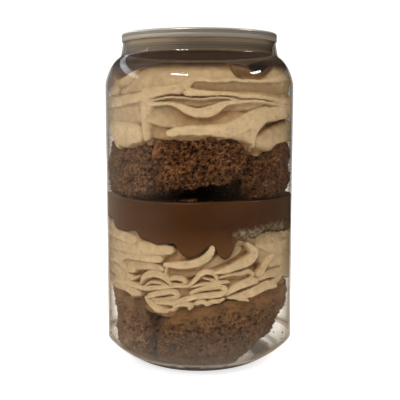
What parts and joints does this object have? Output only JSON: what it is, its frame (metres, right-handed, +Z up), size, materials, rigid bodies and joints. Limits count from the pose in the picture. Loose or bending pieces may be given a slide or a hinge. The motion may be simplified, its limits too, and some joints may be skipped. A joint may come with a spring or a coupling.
{
  "type": "layered chocolate cake in a clear drink can",
  "caption": "Chocolate cake, whipped cream and ganache in layers, sealed in a clear plastic drink can with a seamed metal lid and ring pull.",
  "frame": {"origin": "centre of the flat ring on which the can stands, at the level of the table", "axes": "+Z up along the can's axis, -Y towards the side that the picture shows, +X to its right"},
  "size_m": [0.066, 0.066, 0.1152],
  "materials": {
    "clear_wall": "clear moulded plastic, glossy",
    "lid_metal": "lacquered sheet, satin",
    "pull_metal": "bright pressed sheet",
    "cream": "soft whipped chocolate cream, faint sheen",
    "cake_crumb": "torn porous sponge, dull",
    "ganache": "smooth set chocolate, soft gloss"
  },
  "bodies": {
    "root": {"can_body": "clear_wall", "lid_end": "lid_metal", "pull_tab": "pull_metal", "upper_cream": "cream", "upper_cake_main": "cake_crumb", "upper_cake_left": "cake_crumb", "upper_cake_right": "cake_crumb", "ganache": "ganache", "lower_cream": "cream", "bottom_cake_main": "cake_crumb", "bottom_cake_left": "cake_crumb"}
  },
  "joints": []
}
